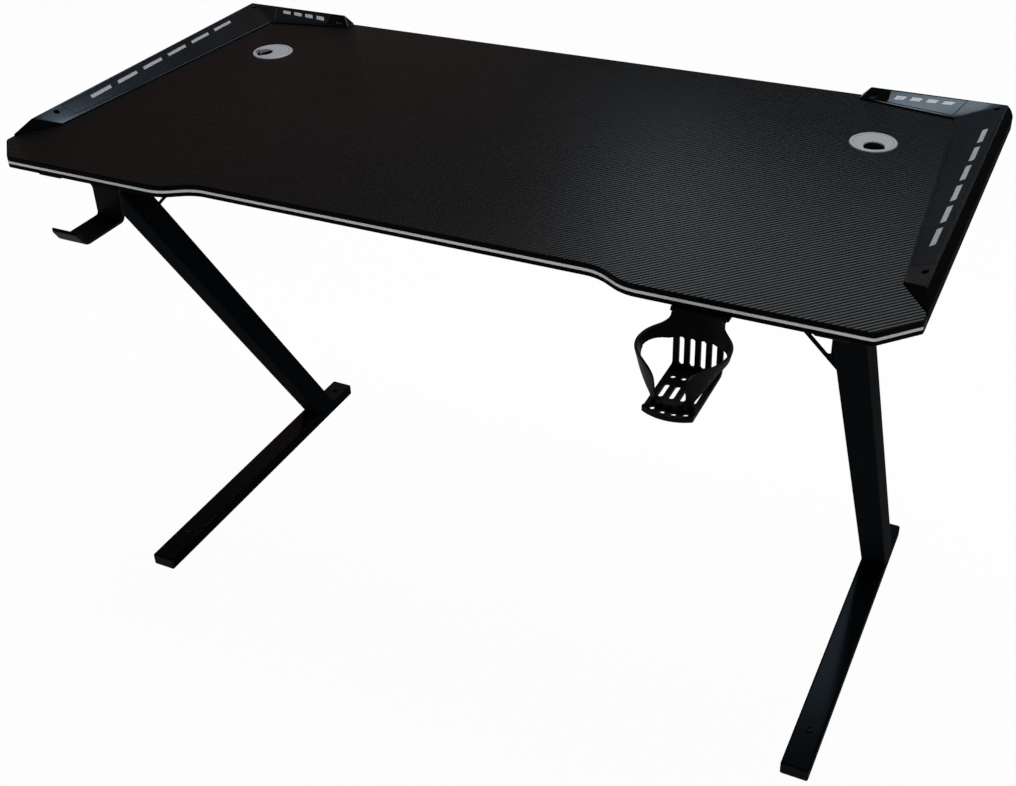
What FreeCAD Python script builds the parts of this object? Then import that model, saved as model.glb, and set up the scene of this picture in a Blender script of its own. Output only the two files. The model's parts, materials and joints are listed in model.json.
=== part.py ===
import FreeCAD, Part
import math
import os

V = FreeCAD.Vector

# Whole desk, in millimetres: x to the right, y to the back, z up
width = 1200.0
depth = 600.0
height = 740.0
overrun = 4.0

# Table top
board_thick = 14.5
film_thick = 0.5
edge_thick = 2.0
corner_across = 40.0
corner_along = 42.0
corner_round = 8.0
back_round = 12.0
recess_depth = 23.0
recess_left = 281.0
recess_right = 306.0
recess_slope_run = 38.0
recess_round = 55.0
stripe_height = 3.4
stripe_drop = 6.0
stripe_depth = 0.8

# Corner wings, with plan sizes counted from the desk's side and back
wing_front = 56.0
wing_front_width = 36.5
wing_front_run = 53.0
wing_ridge_run = 28.0
wing_corner_width = 68.0
wing_corner_depth = 42.0
wing_end = 197.0
wing_end_width = 18.0
wing_end_facet = 12.0
wing_rise = 15.0
wing_lip = 2.0
ridge_inset = 9.0
back_ridge_inset = 5.5
plate_depth = 1.0
plate_margin = 3.0
plate_lip = 5.0
plate_front = 142.0
plate_front_skew = 4.0
plate_back = 69.0
plate_back_skew = 24.0
back_plate_end = 159.0
back_plate_corner = 72.0
back_plate_skew = 13.0
seam = 0.3

# Light windows and the strips below them
window_width = 6.0
window_thick = 2.1
window_skew = 4.0
side_window_count = 6
side_window_length = 46.0
side_window_pitch = 57.2
side_window_first = 184.0
side_window_inset = 23.0
back_window_count = 4
back_window_length = 18.0
back_window_pitch = 20.8
back_window_first = 73.0
back_window_inset = 15.0
strip_width = 8.0
strip_thick = 1.2
strip_margin = 6.0
lamp_size = 5.0
lamp_thick = 1.6

# Cable grommets
grommet_side = 147.0
grommet_back = 152.0
grommet_flange_r = 30.0
grommet_flange_thick = 2.0
grommet_flange_slope = 1.2
sleeve_r = 27.0
sleeve_bore_r = 23.5
cap_r = 25.0
cap_thick = 2.0
cap_rim_depth = 5.0
cap_rim_thick = 1.4
cap_running_gap = 0.08
cap_seat_gap = 0.1
hole_gap = 0.2
notch_r = 13.0
notch_offset = 13.0
left_notch_turn = 218.0
right_notch_turn = 286.0

# Legs
leg_inset = 86.0
tube_wall = 1.5
tube_round = 3.0
rail_width = 38.0
rail_height = 15.0
rail_front = 20.0
rail_back = 40.0
column_width = 38.0
column_depth = 38.0
column_front = 101.0
column_heel = 81.0
foot_width = 38.0
foot_height = 20.0
foot_setback = 70.0
foot_overhang = 10.0
tube_cap_thick = 3.5
tube_cap_round = 2.6
tube_cap_plug = 14.0
tube_cap_gap = 0.1
tube_cap_wall = 1.2
pad_r = 14.0
pad_height = 3.0
pad_edge = 1.0
pad_front = 70.0
pad_back = 25.0

# Crossbeams and braces
beam_depth = 40.0
beam_front = 160.0
beam_back = 95.0
beam_end_plate = 4.0
brace_length = 125.0
brace_thick = 4.0
brace_bar = 4.0
brace_seat = 8.0
brace_round = 3.0

# Headset hook
hook_side = 189.0
hook_width = 41.0
hook_flange_width = 54.0
hook_flange_round = 6.4
hook_thick = 4.5
hook_setback = 10.0
hook_flange_run = 38.0
hook_drop = 48.5
hook_reach = 71.0
hook_tip_run = 12.0
hook_tip_rise = 19.5
hook_bend = 6.0
hook_tip_bend = 12.0
hook_tip_round = 9.0

# Cup holder
cup_side = 218.5
cup_reach = 102.0
cup_width = 55.0
cup_flange_width = 64.0
cup_flange_round = 4.8
cup_flange_run = 40.0
cup_wall = 4.0
cup_drop = 70.0
cup_bend = 6.0
cup_lip_height = 4.0
hoop_r = 50.0
hoop_foot_r = 37.0
hoop_wall = 3.5
hoop_drop = 13.5
hoop_band = 8.0
hoop_back_drop = 8.0
tongue_half = 46.0
tongue_foot_half = 23.0
tongue_foot_rise = 14.0
tongue_round = 10.0
hoop_notch_half = 17.0
hoop_notch_sill = 11.0
hoop_notch_round = 22.0
hoop_notch_foot_round = 12.6
hoop_fillet = 13.0
slot_width = 6.0
slot_pitch = 12.0
slot_count = 4
slot_round_share = 0.98
wall_slot_length = 35.0
wall_slot_rise = 1.5
base_slot_short = 9.0
base_slot_long = 28.0
base_slot_rib = 9.0
base_slot_lead = 4.5

# Light controller under the board
control_side = 300.0
control_back = 150.0
control_width = 78.0
control_depth = 42.0
control_height = 19.0
control_round = 4.0
control_ear = 12.0
control_ear_thick = 3.0
button_r = 6.0
button_length = 7.0
button_proud = 2.0
button_travel = 1.2
button_gap = 0.08
button_seat_gap = 0.1
button_offset = 16.0
inlet_r = 4.0
inlet_depth = 12.0

# Fasteners
screw_r = 1.8
screw_head_r = 3.5
screw_head_thick = 2.0
screw_bite = 9.0
screw_gap = 0.1
wing_screw_boss = 1.8
wing_screw_seat = 3.5
wing_front_screw_x = 17.5
wing_front_screw_y = 122.0
wing_corner_screw_x = 20.0
wing_corner_screw_y = 17.0
wing_end_screw_x = 180.0
wing_end_screw_y = 14.5
bolt_r = 3.0
bolt_head_r = 5.2
bolt_head_thick = 3.0
bolt_bite = 11.0
bolt_gap = 0.1
beam_bolt_spacing = 20.0
rail_bolt_margin = 23.0
hook_screw_spacing = 30.0
hook_screw_run = 24.0
cup_screw_spacing = 34.0
cup_screw_run = 26.0

half_width = width / 2
half_depth = depth / 2
board_top = height - film_thick
underside = board_top - board_thick
rail_bottom = underside - rail_height
foot_top = pad_height + foot_height
leg_x = half_width - leg_inset
rail_inner = leg_x - rail_width / 2
recess_left_x = -half_width + recess_left
recess_right_x = half_width - recess_right
grommet_x = half_width - grommet_side
grommet_y = half_depth - grommet_back
foot_front = half_depth - foot_setback
foot_back = half_depth + foot_overhang
column_top_y = half_depth - column_front
column_foot_y = foot_back - column_heel
beam_front_y = half_depth - beam_front
beam_back_y = half_depth - beam_back
hook_x = half_width - hook_side
cup_x = half_width - cup_side
control_x = half_width - control_side
control_y = half_depth - control_back
reach_front = half_depth + cup_reach
shift_y = (reach_front - foot_back) / 2


def to_plan(u, v):
    return V(u, v, 0)


def to_side(u, v):
    return V(0, u, v)


def to_front(u, v):
    return V(u, 0, v)


def unit(vector):
    return vector * (1 / vector.Length)


def inset_points(points, inset):
    """Moves every side of a counterclockwise outline inwards by the same distance."""
    moved = []
    count = len(points)
    for i in range(count):
        here = V(*points[i], 0)
        before = unit(here - V(*points[i - 1], 0))
        after = unit(V(*points[(i + 1) % count], 0) - here)
        inward = V(-before.y, before.x, 0) + V(-after.y, after.x, 0)
        shift = inward * (inset * 2 / inward.dot(inward))
        moved.append((here.x + shift.x, here.y + shift.y))
    return moved


def outline(points, radii, to_space, inset=0.0):
    """A face inside a counterclockwise outline whose corners are rounded by arcs."""
    corners = inset_points(points, inset) if inset else points
    count = len(corners)
    starts = []
    ends = []
    middles = []
    rounds = []
    for i in range(count):
        here = V(*corners[i], 0)
        back = unit(V(*corners[i - 1], 0) - here)
        ahead = unit(V(*corners[(i + 1) % count], 0) - here)
        turn = back.y * ahead.x - back.x * ahead.y
        radius = radii[i]
        if radius:
            radius = max(radius - inset, 0) if turn > 0 else radius + inset
        half_angle = back.getAngle(ahead) / 2
        run = radius / math.tan(half_angle)
        bisector = unit(back + ahead)
        centre = here + bisector * (radius / math.sin(half_angle))
        starts.append(here + back * run)
        ends.append(here + ahead * run)
        middles.append(centre - bisector * radius)
        rounds.append(radius)
    edges = []
    for i in range(count):
        start = to_space(starts[i].x, starts[i].y)
        end = to_space(ends[i].x, ends[i].y)
        if rounds[i]:
            middle = to_space(middles[i].x, middles[i].y)
            edges.append(Part.Arc(start, middle, end).toShape())
        follow = starts[(i + 1) % count]
        edges.append(Part.LineSegment(end, to_space(follow.x, follow.y)).toShape())
    return Part.Face(Part.Wire(edges))


def ribbon(points, radii, thick, to_space):
    """A face of even thickness along an open path, with its bends rounded by arcs."""
    left = []
    right = []
    left_radii = []
    right_radii = []
    last = len(points) - 1
    for i in range(len(points)):
        here = V(*points[i], 0)
        before = unit(here - V(*points[i - 1], 0)) if i else None
        after = unit(V(*points[i + 1], 0) - here) if i < last else None
        before = before or after
        after = after or before
        normal = V(-before.y, before.x, 0) + V(-after.y, after.x, 0)
        shift = normal * (thick / normal.dot(normal))
        turn = before.x * after.y - before.y * after.x
        sway = math.copysign(thick / 2, turn) if radii[i] else 0
        left.append((here.x + shift.x, here.y + shift.y))
        right.append((here.x - shift.x, here.y - shift.y))
        left_radii.append(radii[i] - sway if radii[i] else 0)
        right_radii.append(radii[i] + sway if radii[i] else 0)
    return outline(right + left[::-1], right_radii + left_radii[::-1], to_space)


def block(x0, x1, y0, y1, z0, z1):
    return Part.makeBox(x1 - x0, y1 - y0, z1 - z0, V(x0, y0, z0))


def rod(radius, start, along):
    return Part.makeCylinder(radius, along.Length, start, along)


def mirrored(shape):
    return shape.mirror(V(0, 0, 0), V(1, 0, 0))


def hollow_section(across, up, wall, to_space):
    """The face of a rectangular tube's section, centred on the origin."""
    corners = [(-across / 2, -up / 2), (across / 2, -up / 2), (across / 2, up / 2), (-across / 2, up / 2)]
    radii = [tube_round] * len(corners)
    return outline(corners, radii, to_space).cut(outline(corners, radii, to_space, wall))


def fastener(radius, head_radius, head_thick, gap, seat, along):
    """A screw whose head rests at the seat, and the round tool that clears its shank."""
    head = rod(head_radius, seat, unit(along) * -head_thick)
    shank = rod(radius, seat, along)
    return head.fuse(shank).removeSplitter(), rod(radius + gap, seat, along)


def table_outline(inset):
    points = [
        (-half_width + corner_across, -half_depth),
        (recess_left_x, -half_depth),
        (recess_left_x + recess_slope_run, -half_depth + recess_depth),
        (recess_right_x - recess_slope_run, -half_depth + recess_depth),
        (recess_right_x, -half_depth),
        (half_width - corner_across, -half_depth),
        (half_width, -half_depth + corner_along),
        (half_width, half_depth),
        (-half_width, half_depth),
        (-half_width, -half_depth + corner_along),
    ]
    bends = [recess_round] * 4
    radii = [corner_round] + bends + [corner_round] * 2 + [back_round] * 2 + [corner_round]
    return outline(points, radii, to_plan, inset)


def table_slab(inset, bottom, top):
    face = table_outline(inset)
    face.translate(V(0, 0, bottom))
    return face.extrude(V(0, 0, top - bottom))


def edge_ring(inset, bottom, top):
    return table_slab(0.0, bottom, top).cut(table_slab(inset, bottom, top))


wing_front_y = -half_depth + wing_front
wing_end_x = half_width - wing_end
ridge_x = half_width - ridge_inset
ridge_y = half_depth - back_ridge_inset


def wing_form(inset, drop, floor):
    """The right wing's outside, with its walls moved in and its roof lowered."""
    plan = inset_points(
        [
            (half_width, wing_front_y),
            (half_width, half_depth),
            (wing_end_x, half_depth),
            (wing_end_x, half_depth - wing_end_width),
            (half_width - wing_corner_width, half_depth - wing_corner_depth),
            (half_width - wing_front_width, wing_front_y + wing_front_run),
        ],
        inset,
    )
    lows = [V(x, y, floor) for x, y in plan]
    lips = [V(x, y, height + wing_lip - drop) for x, y in plan]
    crest = height + wing_rise - drop
    front = V(ridge_x, wing_front_y + wing_ridge_run + inset, crest)
    corner = V(ridge_x, ridge_y, crest)
    end = V(wing_end_x + wing_end_facet + inset, ridge_y, crest)
    flats = [
        [lips[0], lips[1], corner, front],
        [lips[1], lips[2], end, corner],
        [lips[2], lips[3], end],
        [lips[5], lips[0], front],
        lows,
    ]
    for i in range(len(plan)):
        flats.append([lows[i - 1], lows[i], lips[i], lips[i - 1]])
    faces = [Part.Face(Part.makePolygon(points + points[:1])) for points in flats]
    for low_ends, high_ends in (((lips[4], lips[3]), (corner, end)), ((lips[5], lips[4]), (front, corner))):
        low_edge = Part.LineSegment(*low_ends).toShape()
        high_edge = Part.LineSegment(*high_ends).toShape()
        faces.append(Part.makeRuledSurface(low_edge, high_edge))
    shell = Part.makeShell(faces)
    shell.sewShape()
    form = Part.makeSolid(shell)
    if form.Volume < 0:
        form.reverse()
    return form


def plan_prism(points):
    face = outline(points, [0] * len(points), to_plan)
    face.translate(V(0, 0, height - overrun))
    return face.extrude(V(0, 0, wing_rise + overrun * 2))


def wing_inner_x(y):
    start = wing_front_y + wing_front_run
    stop = half_depth - wing_corner_depth
    share = (y - start) / (stop - start)
    return half_width - wing_front_width - (wing_corner_width - wing_front_width) * share


def wing_inner_y(x):
    start = half_width - wing_corner_width
    share = (start - x) / (start - wing_end_x)
    return half_depth - wing_corner_depth + (wing_corner_depth - wing_end_width) * share


def side_plate_plan(gap):
    front = -half_depth + plate_front
    back = half_depth - plate_back
    ridge = ridge_x - plate_margin
    points = [
        (wing_inner_x(front) + plate_lip, front),
        (ridge, front - plate_front_skew),
        (ridge, back + plate_back_skew),
        (wing_inner_x(back) + plate_lip, back),
    ]
    return plan_prism(inset_points(points, gap))


def back_plate_plan(gap):
    end = half_width - back_plate_end
    corner = half_width - back_plate_corner
    points = [
        (end, wing_inner_y(end) + plate_lip / 2),
        (corner, wing_inner_y(corner) + plate_lip),
        (corner + back_plate_skew, ridge_y - plate_margin / 2),
        (end, ridge_y - plate_margin / 2),
    ]
    return plan_prism(inset_points(points, gap))


def window_plans():
    plans = []
    x = half_width - side_window_inset
    for i in range(side_window_count):
        y = -half_depth + side_window_first + i * side_window_pitch
        plans.append(plan_prism([
            (x - window_width / 2, y),
            (x + window_width / 2, y + window_skew),
            (x + window_width / 2, y + side_window_length),
            (x - window_width / 2, y + side_window_length - window_skew),
        ]))
    y = half_depth - back_window_inset
    for i in range(back_window_count):
        x = half_width - back_window_first - i * back_window_pitch
        plans.append(plan_prism([
            (x - back_window_length, y - window_width / 2),
            (x - window_skew, y - window_width / 2),
            (x, y + window_width / 2),
            (x - back_window_length + window_skew, y + window_width / 2),
        ]))
    return plans


def wing_screws():
    """Screws of the right wing, their shank tools and the recesses above their heads."""
    spots = [
        (half_width - wing_front_screw_x, -half_depth + wing_front_screw_y),
        (half_width - wing_corner_screw_x, half_depth - wing_corner_screw_y),
        (half_width - wing_end_screw_x, half_depth - wing_end_screw_y),
    ]
    made = []
    for x, y in spots:
        seat = V(x, y, height + wing_screw_seat)
        shank = V(0, 0, -wing_screw_seat - film_thick - screw_bite)
        screw, tool = fastener(screw_r, screw_head_r, screw_head_thick, screw_gap, seat, shank)
        recess = rod(screw_head_r + screw_gap, seat, V(0, 0, wing_rise))
        boss = rod(screw_head_r + wing_screw_boss, V(x, y, height), V(0, 0, wing_rise))
        made.append((screw, tool, recess, boss))
    return made


def build_wing(nodes):
    floor = height - overrun
    form = wing_form(0.0, 0.0, height)
    cavity = wing_form(edge_thick, edge_thick, floor)
    rounded = table_slab(edge_thick, floor, height + wing_rise)
    rounded_outside = table_slab(0.0, underside, height + wing_rise)
    cavity = cavity.common(rounded)
    screws = wing_screws()
    for screw, tool, recess, boss in screws:
        cavity = cavity.cut(boss)
    skirt = edge_ring(edge_thick, underside, height)
    skirt = skirt.common(block(
        wing_end_x, half_width, wing_front_y, half_depth, underside, height,
    ))
    cover = form.cut(cavity).fuse(skirt).common(rounded_outside)
    plate_space = wing_form(0.0, plate_depth, floor)
    window_space = wing_form(0.0, window_thick, floor)
    side_plate = side_plate_plan(seam).common(form).cut(plate_space)
    back_plate = back_plate_plan(seam).common(form).cut(plate_space)
    for plan in (side_plate_plan(0.0), back_plate_plan(0.0)):
        cover = cover.cut(plan.cut(plate_space))
    windows = []
    for plan in window_plans():
        cover = cover.cut(plan)
        side_plate = side_plate.cut(plan)
        back_plate = back_plate.cut(plan)
        windows.append(plan.common(form).cut(window_space))
    for screw, tool, recess, boss in screws:
        cover = cover.cut(tool).cut(recess)
    pieces = {
        "wing_cover": cover.removeSplitter(),
        "side_light_plate": side_plate,
        "back_light_plate": back_plate,
        "light_windows": Part.makeCompound([w.Solids[0] for w in windows]),
        "light_strips": light_strips(),
    }
    for name, shape in pieces.items():
        nodes["right_" + name] = shape
        nodes["left_" + name] = mirrored(shape)
    nodes["wing_screws"] = Part.makeCompound(
        [screw for screw, tool, recess, boss in screws]
        + [mirrored(screw) for screw, tool, recess, boss in screws]
    )
    tools = [tool for screw, tool, recess, boss in screws]
    return tools + [mirrored(tool) for tool in tools]


def light_strips():
    """One strip for the side windows and one for the back ones, with a lamp per window."""
    side_x = half_width - side_window_inset
    side_y = -half_depth + side_window_first
    side_run = (side_window_count - 1) * side_window_pitch + side_window_length
    back_x = half_width - back_window_first
    back_y = half_depth - back_window_inset
    back_run = (back_window_count - 1) * back_window_pitch + back_window_length
    top = height + strip_thick
    side_strip = block(
        side_x - strip_width / 2, side_x + strip_width / 2,
        side_y - strip_margin, side_y + side_run + strip_margin, height, top,
    )
    back_strip = block(
        back_x - back_run - strip_margin, back_x + strip_margin / 2,
        back_y - strip_width / 2, back_y + strip_width / 2, height, top,
    )
    lamp = block(
        -lamp_size / 2, lamp_size / 2, -lamp_size / 2, lamp_size / 2, top, top + lamp_thick,
    )
    for i in range(side_window_count):
        y = side_y + side_window_length / 2 + i * side_window_pitch
        side_strip = side_strip.fuse(lamp.translated(V(side_x, y, 0)))
    for i in range(back_window_count):
        x = back_x - back_window_length / 2 - i * back_window_pitch
        back_strip = back_strip.fuse(lamp.translated(V(x, back_y, 0)))
    return Part.makeCompound([side_strip.removeSplitter(), back_strip.removeSplitter()])


def revolve_profile(points):
    """A solid turned about the z axis from points of radius and height."""
    corners = [V(r, 0, z) for r, z in points]
    face = Part.Face(Part.makePolygon(corners + corners[:1]))
    return face.revolve(V(0, 0, 0), V(0, 0, 1), 360)


def grommet_sleeve():
    seat = height + grommet_flange_thick - cap_thick - cap_seat_gap
    bore = cap_r + cap_running_gap
    return revolve_profile([
        (sleeve_bore_r, underside),
        (sleeve_r, underside),
        (sleeve_r, height),
        (grommet_flange_r, height),
        (grommet_flange_r, height + grommet_flange_thick - grommet_flange_slope),
        (grommet_flange_r - grommet_flange_slope, height + grommet_flange_thick),
        (bore, height + grommet_flange_thick),
        (bore, seat),
        (sleeve_bore_r, seat),
    ])


def grommet_cap(turn):
    top = height + grommet_flange_thick
    rim_r = sleeve_bore_r - cap_running_gap
    cap = revolve_profile([
        (0, top - cap_thick),
        (rim_r - cap_rim_thick, top - cap_thick),
        (rim_r - cap_rim_thick, top - cap_thick - cap_rim_depth),
        (rim_r, top - cap_thick - cap_rim_depth),
        (rim_r, top - cap_thick),
        (cap_r, top - cap_thick),
        (cap_r, top),
        (0, top),
    ])
    low = top - cap_thick - cap_rim_depth - overrun
    deep = top + overrun - low
    notch = Part.makeCylinder(notch_r, deep, V(notch_offset, 0, low))
    notch = notch.fuse(block(
        notch_offset, notch_offset + cap_r, -notch_r, notch_r, low, low + deep,
    ))
    cap = cap.cut(notch)
    cap.rotate(V(0, 0, 0), V(0, 0, 1), turn)
    return cap


def build_top(nodes, tools):
    board = table_slab(edge_thick, underside, board_top)
    film = table_slab(edge_thick, board_top, height)
    for sign in (-1, 1):
        start = V(sign * grommet_x, grommet_y, underside - overrun)
        hole = rod(sleeve_r + hole_gap, start, V(0, 0, height - underside + overrun * 2))
        board = board.cut(hole)
        film = film.cut(hole)
    for tool in tools:
        board = board.cut(tool)
        film = film.cut(tool)
    ring = edge_ring(edge_thick, underside, height)
    front_zone = block(-half_width, half_width, -half_depth, wing_front_y, underside, height)
    back_zone = block(-wing_end_x, wing_end_x, 0, half_depth, underside, height)
    stripe_top = height - stripe_drop
    stripe = edge_ring(stripe_depth, stripe_top - stripe_height, stripe_top)
    stripe = stripe.common(block(
        -half_width, half_width, -half_depth, -half_depth + corner_along, underside, height,
    ))
    nodes["table_top"] = board
    nodes["top_film"] = film
    nodes["front_edge_moulding"] = ring.common(front_zone).cut(stripe)
    nodes["rear_edge_strip"] = ring.common(back_zone)
    nodes["edge_stripe"] = stripe
    for side, sign, turn in (("left", -1, left_notch_turn), ("right", 1, right_notch_turn)):
        place = V(sign * grommet_x, grommet_y, 0)
        nodes[side + "_grommet_sleeve"] = grommet_sleeve().translated(place)
        nodes[side + "_grommet_cap"] = grommet_cap(turn).translated(place)


def tube_cap(across, up):
    """A plug for a tube's end: a plate with a rounded edge and a hollow stub behind it."""
    corners = [(-across / 2, -up / 2), (across / 2, -up / 2), (across / 2, up / 2), (-across / 2, up / 2)]
    radii = [tube_round] * len(corners)
    plate = outline(corners, radii, to_front).extrude(V(0, -tube_cap_thick, 0))
    rim = [e for e in plate.Edges if e.BoundBox.YMax < -tube_cap_thick / 2]
    plate = plate.makeFillet(tube_cap_round, rim)
    stub = outline(corners, radii, to_front, tube_wall + tube_cap_gap)
    stub = stub.cut(outline(corners, radii, to_front, tube_wall + tube_cap_gap + tube_cap_wall))
    return plate.fuse(stub.extrude(V(0, tube_cap_plug, 0)))


def build_legs(nodes):
    """Both legs, with the tools that the rail bolts need in the board."""
    rail_start = -half_depth + rail_front
    rail_stop = half_depth - rail_back
    rail_mid = (underside + rail_bottom) / 2
    rail = hollow_section(rail_width, rail_height, tube_wall, to_front)
    rail = rail.extrude(V(0, rail_stop - rail_start - tube_cap_thick * 2, 0))
    rail.translate(V(leg_x, rail_start + tube_cap_thick, rail_mid))
    lean = V(0, column_foot_y + column_top_y, foot_top - rail_bottom)
    slant = lean.Length / (rail_bottom - foot_top)
    column_run = column_depth * slant
    column = outline(
        [
            (-column_width / 2, -column_run / 2),
            (column_width / 2, -column_run / 2),
            (column_width / 2, column_run / 2),
            (-column_width / 2, column_run / 2),
        ],
        [tube_round] * 4,
        to_plan,
    )
    bore = block(
        -column_width / 2 + tube_wall, column_width / 2 - tube_wall,
        -column_run / 2 + tube_wall * slant, column_run / 2 - tube_wall * slant, 0, overrun,
    )
    column = column.cut(bore.Faces[4])
    column = column.extrude(lean)
    column.translate(V(leg_x, -column_top_y, rail_bottom))
    foot = hollow_section(foot_width, foot_height, tube_wall, to_front)
    foot = foot.extrude(V(0, foot_front + foot_back - tube_cap_thick * 2, 0))
    foot.translate(V(leg_x, -foot_front + tube_cap_thick, pad_height + foot_height / 2))
    rail_caps = [tube_cap(rail_width, rail_height), tube_cap(rail_width, rail_height)]
    rail_caps[1].rotate(V(0, 0, 0), V(0, 0, 1), 180)
    rail_caps[0].translate(V(leg_x, rail_start + tube_cap_thick, rail_mid))
    rail_caps[1].translate(V(leg_x, rail_stop - tube_cap_thick, rail_mid))
    foot_caps = [tube_cap(foot_width, foot_height), tube_cap(foot_width, foot_height)]
    foot_caps[1].rotate(V(0, 0, 0), V(0, 0, 1), 180)
    foot_mid = pad_height + foot_height / 2
    foot_caps[0].translate(V(leg_x, -foot_front + tube_cap_thick, foot_mid))
    foot_caps[1].translate(V(leg_x, foot_back - tube_cap_thick, foot_mid))
    board_tools = []
    rail_bolts = []
    bolt_start = rail_start + rail_bolt_margin
    bolt_stop = rail_stop - rail_bolt_margin
    for y in (bolt_start, (bolt_start + bolt_stop) / 2, bolt_stop):
        seat = V(leg_x, y, rail_bottom)
        along = V(0, 0, rail_height + bolt_bite)
        bolt, tool = fastener(bolt_r, bolt_head_r, bolt_head_thick, bolt_gap, seat, along)
        rail_bolts.append(bolt)
        board_tools.append(tool)
        rail = rail.cut(tool)
    pads = []
    pad_bolts = []
    for y in (pad_front - foot_front, foot_back - pad_back):
        pad = revolve_profile([
            (0, 0), (pad_r - pad_edge, 0), (pad_r, pad_edge), (pad_r, pad_height), (0, pad_height),
        ]).translated(V(leg_x, y, 0))
        seat = V(leg_x, y, foot_top)
        along = V(0, 0, pad_edge - foot_top)
        bolt, tool = fastener(bolt_r, bolt_head_r, bolt_head_thick, bolt_gap, seat, along)
        pads.append(pad.cut(tool))
        pad_bolts.append(bolt)
        foot = foot.cut(tool)
    for y in (-beam_front_y, beam_back_y):
        for step in (-beam_bolt_spacing / 2, beam_bolt_spacing / 2):
            start = V(leg_x - rail_width, y + step, rail_mid)
            rail = rail.cut(rod(bolt_r + bolt_gap, start, V(rail_width * 2, 0, 0)))
    for name, shape in (("top_rail", rail), ("column", column), ("foot", foot)):
        nodes["right_" + name] = shape
        nodes["left_" + name] = mirrored(shape)
    groups = (
        ("rail_end_caps", rail_caps),
        ("foot_end_caps", foot_caps),
        ("rail_bolts", rail_bolts),
        ("floor_pads", pads),
        ("pad_bolts", pad_bolts),
    )
    for name, shapes in groups:
        nodes[name] = Part.makeCompound(shapes + [mirrored(shape) for shape in shapes])
    return board_tools + [mirrored(tool) for tool in board_tools]


def crossbeam(y):
    """A flat tube between the rails, closed by a threaded plate at each end."""
    tube = hollow_section(beam_depth, rail_height, tube_wall, to_side)
    tube = tube.extrude(V(rail_inner * 2, 0, 0)).translated(V(-rail_inner, 0, 0))
    inside = (beam_depth / 2 - tube_wall, rail_height / 2 - tube_wall)
    plate = block(
        rail_inner - beam_end_plate, rail_inner, -inside[0], inside[0], -inside[1], inside[1],
    )
    beam = tube.fuse(plate).fuse(mirrored(plate))
    bolts = []
    for step in (-beam_bolt_spacing / 2, beam_bolt_spacing / 2):
        seat = V(leg_x + rail_width / 2, step, 0)
        along = V(-rail_width - bolt_bite, 0, 0)
        bolt, tool = fastener(bolt_r, bolt_head_r, bolt_head_thick, bolt_gap, seat, along)
        beam = beam.cut(tool).cut(mirrored(tool))
        bolts += [bolt, mirrored(bolt)]
    place = V(0, y, underside - rail_height / 2)
    return beam.removeSplitter().translated(place), [bolt.translated(place) for bolt in bolts]


def build_frame(nodes):
    nodes["front_crossbeam"], front_bolts = crossbeam(-beam_front_y)
    nodes["rear_crossbeam"], back_bolts = crossbeam(beam_back_y)
    nodes["beam_bolts"] = Part.makeCompound(front_bolts + back_bolts)
    right = leg_x - column_width / 2
    top = rail_bottom
    outer = [(right, top - brace_length), (right, top), (right - brace_length, top)]
    slope = brace_bar * math.sqrt(2)
    inner_right = right - brace_seat
    inner_top = top - brace_seat
    reach = brace_length - brace_seat * 2 - slope
    inner = [(inner_right, inner_top - reach), (inner_right, inner_top), (inner_right - reach, inner_top)]
    face = outline(outer, [0] * 3, to_front).cut(outline(inner, [brace_round] * 3, to_front))
    brace = face.extrude(V(0, brace_thick, 0)).translated(V(0, -beam_front_y - brace_thick / 2, 0))
    nodes["right_brace"] = brace
    nodes["left_brace"] = mirrored(brace)


def build_hook(nodes):
    web_y = -half_depth + hook_setback
    top = underside - hook_thick / 2
    low = underside - hook_drop
    path = [
        (web_y + hook_flange_run, top),
        (web_y, top),
        (web_y, low),
        (web_y - hook_reach, low),
        (web_y - hook_reach - hook_tip_run, low + hook_tip_rise),
    ]
    bends = [0, hook_bend, hook_bend, hook_tip_bend, 0]
    hook = ribbon(path, bends, hook_thick, to_side)
    hook = hook.extrude(V(hook_flange_width, 0, 0)).translated(V(-hook_flange_width / 2, 0, 0))
    half = hook_width / 2
    flange = hook_flange_width / 2
    shoulder = underside - hook_thick
    foot = low - hook_thick
    mask = outline(
        [(-half, foot), (half, foot), (half, shoulder), (flange, shoulder), (flange, underside),
         (-flange, underside), (-flange, shoulder), (-half, shoulder)],
        [0, 0, hook_flange_round, 0, 0, 0, 0, hook_flange_round],
        to_front,
    )
    mask = mask.extrude(V(0, half_depth, 0)).translated(V(0, web_y - half_depth / 2, 0))
    tip_y = web_y - hook_reach - hook_tip_run - hook_thick
    plan = outline(
        [(-flange, tip_y + hook_thick / 2), (flange, tip_y + hook_thick / 2),
         (flange, web_y + hook_flange_run), (-flange, web_y + hook_flange_run)],
        [flange - half + hook_tip_round] * 2 + [hook_tip_round] * 2,
        to_plan,
    )
    plan = plan.translated(V(0, 0, foot)).extrude(V(0, 0, hook_drop + hook_thick * 2))
    hook = hook.common(mask).common(plan)
    screws = []
    tools = []
    for step in (-hook_screw_spacing / 2, hook_screw_spacing / 2):
        seat = V(step, web_y + hook_screw_run, underside - hook_thick)
        along = V(0, 0, hook_thick + screw_bite)
        screw, tool = fastener(screw_r, screw_head_r, screw_head_thick, screw_gap, seat, along)
        hook = hook.cut(tool)
        screws.append(screw.translated(V(-hook_x, 0, 0)))
        tools.append(tool.translated(V(-hook_x, 0, 0)))
    nodes["headset_hook"] = hook.translated(V(-hook_x, 0, 0))
    nodes["hook_screws"] = Part.makeCompound(screws)
    return tools


def slot(length, to_space, centre, along):
    """A slot with round ends, long in the second direction of its plane."""
    r = slot_width / 2
    half = length / 2
    points = [(-r, -half), (r, -half), (r, half), (-r, half)]
    moved = [(centre[0] + u, centre[1] + v) for u, v in points]
    return outline(moved, [r * slot_round_share] * 4, to_space).extrude(along)


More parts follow.
